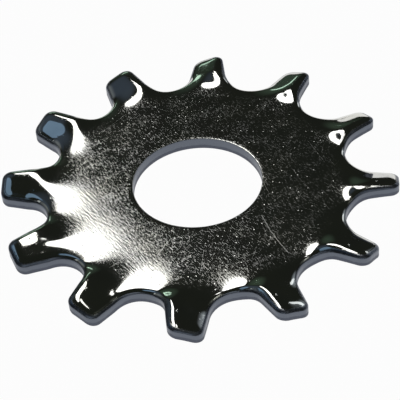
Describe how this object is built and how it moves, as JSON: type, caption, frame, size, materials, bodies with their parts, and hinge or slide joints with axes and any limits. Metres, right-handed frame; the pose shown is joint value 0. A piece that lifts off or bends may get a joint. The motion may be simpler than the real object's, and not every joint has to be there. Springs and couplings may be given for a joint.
{
  "type": "toothed lock washer",
  "caption": "Flat steel ring washer with a plain round bore and twisted teeth round its outer rim, which bite when it is clamped.",
  "frame": {"origin": "on the bore axis, half way through the flat plate", "axes": "+Z along the bore axis, out of the face whose rim is rolled over; +X along the middle of one tooth"},
  "size_m": [0.0198, 0.0198, 0.0013],
  "materials": {
    "plated_steel": "bright plated steel with fine pits and handling scratches, and duller sheared edges"
  },
  "bodies": {
    "root": {"washer": "plated_steel"}
  },
  "joints": []
}
